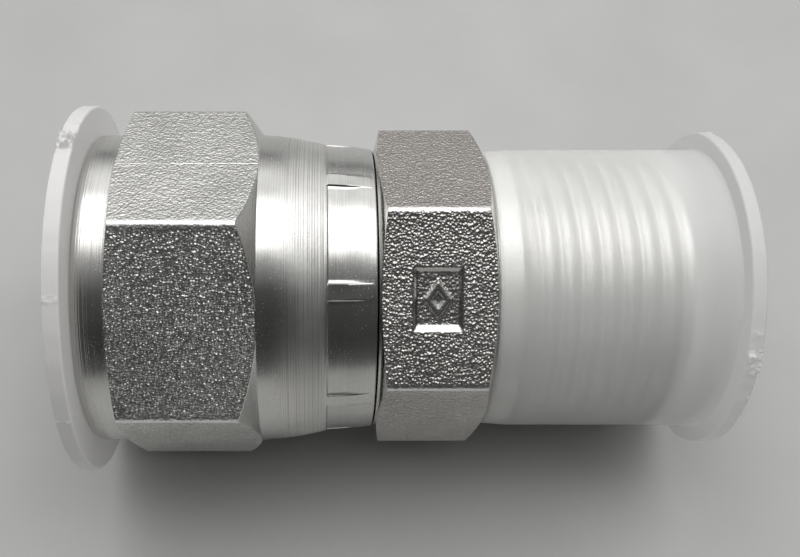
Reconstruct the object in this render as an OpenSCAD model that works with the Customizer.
/* Straight swivel adapter with its two thread protectors.
   A flat-face tube fitting, size 12: thread 1-3/16 inch, 12 per inch.
   Millimetres. +X runs along the bore, from the swivel nut to the male thread.
   The origin is on the bore axis, in the plane of the male sealing face. */

/* [Thread] */
// Major diameter of the male thread
thread_d = 30.16; // [30.0:0.02:30.3]
// Threads per inch
tpi = 12; // [11:1:14]
// Height of the male thread form
thread_h = 1.30; // [1.0:0.05:1.35]

/* [Adapter body] */
// Width across flats of the body hexagon
body_af = 32.2; // [31.6:0.1:32.6]
// Length of the body hexagon
body_hex_l = 12.3; // [11:0.1:13]
// Distance from the hexagon to the male sealing face
male_l = 21.2; // [19:0.1:22]
// Length of the plain shank between hexagon and thread
shank_l = 2.7; // [1.5:0.1:3.5]
// Diameter of the through bore
bore_d = 15.5; // [12:0.1:17]
// Diameter of the neck inside the nut
neck_d = 24.4; // [23.6:0.1:24.6]
// Diameter of the flat-faced nose inside the nut
nose_d = 27.7; // [27.0:0.05:27.75]
// Distance from the hexagon back to the nose's flat face
nose_l = 16; // [14:0.1:16.5]
// Depth of the stamped panel on one flat
panel_depth = 0.35; // [0.1:0.05:0.6]

/* [Seal] */
// Inside diameter of the O-ring
ring_id = 18.77; // [18.6:0.01:18.9]
// Thickness of the O-ring's round section
ring_cs = 1.78; // [1.7:0.01:1.85]
// Depth of the O-ring groove
groove_depth = 1.30; // [1.2:0.01:1.4]

/* [Swivel nut] */
// Width across flats of the nut
nut_af = 36; // [35.8:0.1:36.4]
// Length of the nut from its front to its crimped end
nut_l = 31.9; // [30.5:0.1:32]
// Length of the round collar in front of the hexagon
collar_l = 3.4; // [2:0.1:4]
// Length of the nut's hexagon
nut_hex_l = 15.8; // [14:0.1:17]
// Angle of the nut about the bore at rest
nut_turn = 7.6; // [0:0.1:60]
// Number of crimped panels round the tail
crimps = 8; // [6:1:12]
// Width of the standing land between two panels
land_w = 1.9; // [1:0.1:3]
// Depth of the pressed panels at their step
crimp_depth = 0.42; // [0.2:0.02:0.6]
// Length of the nut's internal thread
nut_thread_l = 13; // [10:0.1:14]

/* [Protectors] */
// Diameter of the plug's flange
plug_flange_d = 42.9; // [38:0.1:44]
// Thickness of the plug's flange
plug_flange_t = 1.7; // [1.2:0.1:2.5]
// Depth of the plug's cup inside the nut
plug_l = 12.2; // [8:0.1:13.5]
// Outside diameter of the cap's tube
cap_d = 32.66; // [32:0.02:33.4]
// Diameter of the cap's flange
cap_flange_d = 36.8; // [35:0.1:40]
// Thickness of the cap's flange and end wall
cap_flange_t = 1.6; // [1.2:0.1:2.5]
// Length of the cap's tube
cap_l = 24.95; // [23.5:0.05:27]
// Wall thickness of the plug
wall = 1.3; // [0.8:0.05:1.6]

/* [Hidden] */
$fn = 96;

// Threads, built as separate rings one pitch apart
pitch = 25.4 / tpi;
crest_r = thread_d / 2;
root_r = crest_r - thread_h;
ridge_count = 8;
first_ridge = 4.9;                    // from the body hexagon to the first ridge's centre
nut_crest_r = crest_r - 1.145;        // inner radius of the nut's thread
nut_root_r = nut_crest_r + 1.20;      // outer radius of the nut's thread
nut_cut_count = floor(nut_thread_l / pitch);
first_nut_cut = 1.7;                  // from the nut's front to the first cut's centre

// Places along X
hex_end = -male_l;                    // body hexagon's face on the male side
hex_start = hex_end - body_hex_l;     // body hexagon's face on the nut side
nose = hex_start - nose_l;            // nose's flat face
shoulder = hex_start - 10.9;          // end of the nose's full diameter
front = hex_start - nut_l;            // nut's front face
nut_end = hex_start - 0.25;           // nut's crimped end, just clear of the body hexagon
nut_hex_start = front + collar_l;
nut_hex_end = nut_hex_start + nut_hex_l;
crimp_start = hex_start - 5.6;        // step where the crimp starts
cap_open = hex_end + 0.15;            // cap's open end

// Radii, clearances and angles
shank_r = 15.0;
collar_r = 18.0;
crimp_r = 16.92;                      // nut's outside at the crimp's step
neck_hole_r = neck_d / 2 + 0.09;      // nut's bore round the neck
groove_clearance = 0.18;              // O-ring groove, on diameter at each wall
cap_bore_r = crest_r + 0.05;
plug_r = nut_crest_r - 0.085;         // plug's cup at its widest
corner_arc_r = 12;                    // crown of the hexagons' corner chamfers
crimp_l = 4.5;                        // length of a crimped panel
first_land = 27.2;                    // angle of the middle of a standing land
land_half_angle = asin(land_w / 33);  // half a land's angle
panel_size = [4.95, 6.6];             // stamped panel along X and across the flat
panel_start = 3.42;                   // from the hexagon's nut side to the panel
panel_face = 60;                      // direction of the stamped flat, from -Y towards +Z

// Solid of revolution about X. The outline is [x, radius] points with x counted from `start`;
// both its ends are joined straight down to the radius `inner`.
module turned(outline, start = 0, inner = 0) {
    closed = concat([[outline[0][0], inner]], outline, [[outline[len(outline) - 1][0], inner]]);
    rotate([0, 90, 0]) rotate_extrude() polygon([for (q = closed) [q[1], q[0] + start]]);
}

// Hexagonal bar along X, turned by `angle`, its corners turned down by `trim`
module hex_bar(start, end, across_flats, angle, trim) {
    corner_r = across_flats / 2 / cos(30) - trim;
    intersection() {
        translate([start, 0, 0]) rotate([0, 90, 0]) rotate(angle)
            cylinder(h = end - start, d = across_flats / cos(30), $fn = 6);
        turned([[start - 1, corner_r], [end + 1, corner_r]]);
    }
}

// Centre, as [radius, x], of the arc through two [x, radius] points,
// on the side nearer the axis
function arc_centre(a, b, arc_r) = let (
    chord = norm(b - a),
    along = (b - a) / chord,
    normal = [along[1], -along[0]],
    inward = normal[1] < 0 ? normal : -normal,
    centre = (a + b) / 2 + inward * sqrt(arc_r * arc_r - chord * chord / 4)
) [centre[1], centre[0]];

// Envelope that chamfers a hexagon's corners at both ends with slightly crowned faces.
// Each chamfer is a pair of [x, radius] points.
module corner_turning(start_chamfer, end_chamfer)
    rotate([0, 90, 0]) rotate_extrude() intersection() {
        translate(arc_centre(start_chamfer[0], start_chamfer[1], corner_arc_r))
            circle(r = corner_arc_r, $fn = 200);
        translate(arc_centre(end_chamfer[0], end_chamfer[1], corner_arc_r))
            circle(r = corner_arc_r, $fn = 200);
    }

// Points from one [x, radius] to another along a curve that bows outwards by `rise`
function bow(from, to, rise, steps = 8) =
    [for (i = [0:steps]) let (f = i / steps) from + (to - from) * f + [0, rise * sin(180 * f)]];

// One thread ring centred on x: half width and radius at its foot and at its top
module thread_ring(x, foot_half, foot_r, top_half, top_r, inner)
    turned([[-foot_half, foot_r], [-top_half, top_r], [top_half, top_r], [foot_half, foot_r]],
        x, inner);

// ---- Adapter body ----

// Nose with its flat sealing face, and the neck the nut turns on
module nose_and_neck()
    turned([[nose, nose_d / 2 - 0.6], [nose + 0.6, nose_d / 2], [shoulder, nose_d / 2],
        [shoulder + 3.3, neck_d / 2], [hex_start + 0.5, neck_d / 2]]);

module body_hexagon() {
    intersection() {
        hex_bar(hex_start, hex_end, body_af, 0, trim = 0.08);
        corner_turning([[hex_start, 16.05], [hex_start + 0.75, 18.6]],
            [[hex_end - 1.05, 18.6], [hex_end, 16.05]]);
    }
    // round core
    turned([[hex_start, body_af / 2 - 0.05], [hex_end, body_af / 2 - 0.05]]);
}

module male_end() {
    // plain shank, thread core and lead chamfer
    turned([[hex_end - 0.5, shank_r], [hex_end + shank_l, shank_r],
        [hex_end + shank_l + 1.2, root_r], [-0.9, root_r], [0, root_r - 0.9]]);
    // thread, cut back to a cone at the sealing face
    intersection() {
        for (i = [0:ridge_count - 1])
            thread_ring(hex_end + first_ridge + i * pitch, 0.13 + thread_h * tan(30), root_r,
                0.13, crest_r, inner = root_r - 1);
        turned([[-30, 16], [-1.3, 16], [0, root_r - 0.3]]);
    }
}

// Through bore, with a small chamfer at each end
module through_bore() {
    translate([nose - 1, 0, 0]) rotate([0, 90, 0]) cylinder(h = -nose + 2, d = bore_d);
    turned([[-1, bore_d / 2 + 1.5], [0.5, bore_d / 2]], nose);
    turned([[1, bore_d / 2 + 1.5], [-0.5, bore_d / 2]]);
}

// O-ring groove in the male sealing face
module seal_groove()
    rotate([0, 90, 0]) translate([0, 0, -groove_depth]) difference() {
        cylinder(h = groove_depth + 1, d = ring_id + 2 * ring_cs + groove_clearance);
        translate([0, 0, -1]) cylinder(h = groove_depth + 3, d = ring_id - groove_clearance);
    }

module stamped_panel()
    rotate([90 - panel_face, 0, 0])
        translate([hex_start + panel_start, -panel_size[1] / 2, body_af / 2 - panel_depth])
            cube([panel_size[0], panel_size[1], 2]);

module adapter_body() color([0.72, 0.73, 0.74]) difference() {
    union() {
        nose_and_neck();
        body_hexagon();
        male_end();
    }
    through_bore();
    seal_groove();
    stamped_panel();
}

// ---- Seal ----

// O-ring resting on the floor of its groove
module face_seal_o_ring() color([0.06, 0.06, 0.065])
    translate([-groove_depth + ring_cs / 2, 0, 0]) rotate([0, 90, 0])
        rotate_extrude() translate([(ring_id + ring_cs) / 2, 0]) circle(d = ring_cs);

// ---- Swivel nut ----

module nut_outside() {
    // collar and tail
    turned(concat(
        [[front, collar_r - 0.45], [front + 0.45, collar_r], [nut_hex_start + 2, collar_r],
            [nut_hex_end - 0.9, 18.05]],
        bow([nut_hex_end - 0.2, 18.05], [crimp_start, crimp_r], 0.16),
        bow([crimp_start, crimp_r], [nut_end - 0.45, 16.55], 0.04, 4),
        [[nut_end, 16.2]]));
    // hexagon, chamfered to the round at both ends
    intersection() {
        hex_bar(nut_hex_start, nut_hex_end, nut_af, nut_turn, trim = 0.12);
        corner_turning([[nut_hex_start + 0.05, 17.9], [nut_hex_start + 0.82, 20.8]],
            [[nut_hex_end - 2.15, 20.8], [nut_hex_end - 0.15, 17.9]]);
    }
}

module nut_inside() {
    // mouth, thread core, crimped cone and neck bore
    turned([[front - 1, nut_crest_r + 2.3], [front + 1.2, nut_crest_r],
        [shoulder + 0.25, nut_crest_r], [shoulder + 3.7, neck_hole_r],
        [nut_end + 1, neck_hole_r]]);
    // internal thread
    for (i = [0:nut_cut_count - 1])
        thread_ring(front + first_nut_cut + i * pitch, 0.80, nut_crest_r - 0.01,
            0.10, nut_root_r, inner = nut_crest_r - 1);
    // relief behind the thread
    turned([[-2.6, nut_crest_r], [-1.6, nut_root_r], [-0.4, nut_root_r], [0.4, nut_crest_r]],
        nose);
}

// Panels pressed into the tail: a sharp step at the front, running out towards the end
module crimp_panels()
    for (i = [0:crimps - 1])
        rotate([0, 90, 0]) rotate(first_land + i * 360 / crimps + land_half_angle)
            rotate_extrude(angle = 360 / crimps - 2 * land_half_angle)
                polygon([[crimp_r - crimp_depth, crimp_start], [19, crimp_start],
                    [19, crimp_start + crimp_l], [16.66, crimp_start + crimp_l]]);

module swivel_nut() color([0.70, 0.71, 0.72]) difference() {
    union() nut_outside();
    nut_inside();
    crimp_panels();
}

// ---- Protectors ----

module nut_plug() color([0.93, 0.92, 0.90, 0.75]) difference() {
    rim_r = plug_flange_d / 2;
    hollow_r = nut_crest_r - wall;
    union() {
        // flange with a rounded rim
        turned([[-plug_flange_t, rim_r - 0.35], [0.35 - plug_flange_t, rim_r], [-0.3, rim_r],
            [0, rim_r - 0.3]], front - 0.05);
        // tapered cup
        turned([[-0.1, plug_r], [2.5, plug_r], [plug_l - 0.8, nut_crest_r - 0.75],
            [plug_l, nut_crest_r - 1.5]], front);
    }
    // hollow, open outwards
    turned([[-5, hollow_r], [2.5, hollow_r - 0.05], [plug_l - wall, hollow_r - 0.8]], front);
}

module male_thread_cap() color([0.94, 0.94, 0.92, 0.7]) difference() {
    rim_r = cap_flange_d / 2;
    union() {
        // tube, drawn in a little at its open end
        turned([[0, 16.0], [0.3, 16.15], [3.2, cap_d / 2], [cap_l + 0.2, cap_d / 2]], cap_open);
        // flange and end wall
        turned([[0, rim_r - 0.25], [0.25, rim_r], [cap_flange_t - 0.35, rim_r],
            [cap_flange_t, rim_r - 0.35]], cap_open + cap_l);
    }
    // bore, closed by the end wall
    turned([[-1, cap_bore_r], [cap_l - 1, cap_bore_r], [cap_l, cap_bore_r - 1]], cap_open);
}

adapter_body();
swivel_nut();
face_seal_o_ring();
nut_plug();
male_thread_cap();
